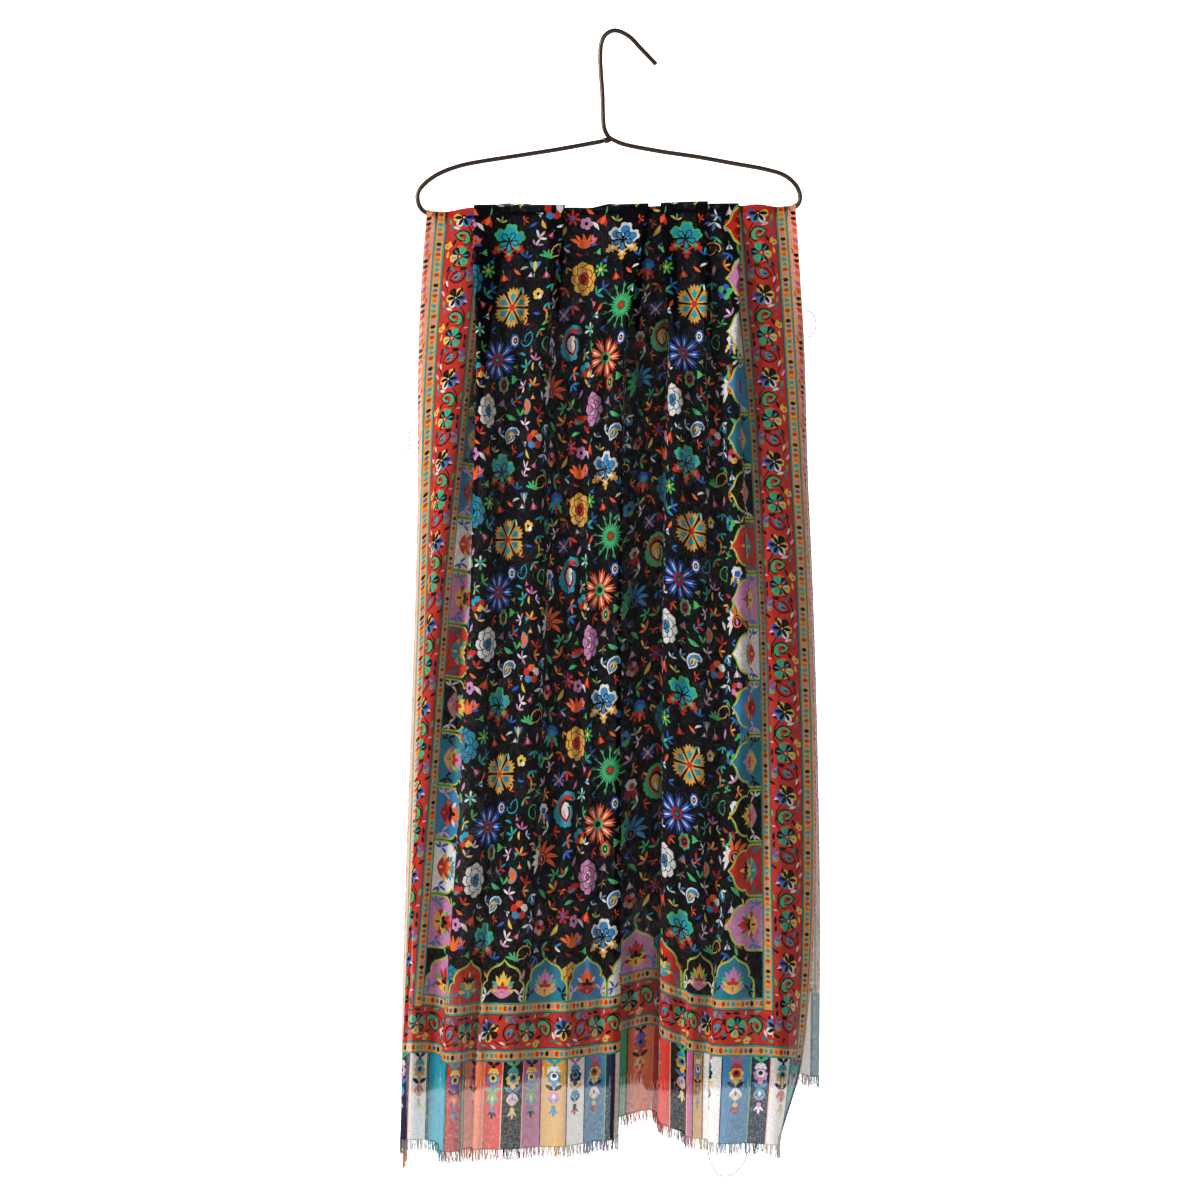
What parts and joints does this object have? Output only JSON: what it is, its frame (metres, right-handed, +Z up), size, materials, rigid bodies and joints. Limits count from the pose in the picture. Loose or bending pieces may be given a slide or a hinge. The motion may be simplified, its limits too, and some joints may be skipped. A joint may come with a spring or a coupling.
{
  "type": "scarf on wire hanger",
  "caption": "Light woven scarf folded once over the bar of a wire hanger, its two falls hanging in soft pleats, with a short fringe along both hems.",
  "frame": {"origin": "underside of the hook's crown, where a rail or peg carries the hanger", "axes": "+Z up; X across the scarf, in the hanger's plane, with the hook's tip towards +X; -Y towards the viewer, with the longer front fall on that side"},
  "size_m": [0.4657, 0.166, 1.2271],
  "materials": {
    "woven_cloth": "matt, with a faint sheen",
    "fringe_yarn": "matt",
    "hanger_metal": "bronze-brown, satin"
  },
  "bodies": {
    "root": {"hanger_wire": "hanger_metal", "scarf_front_fall": "woven_cloth", "scarf_back_fall": "woven_cloth", "front_fringe": "fringe_yarn", "back_fringe": "fringe_yarn"}
  },
  "joints": []
}
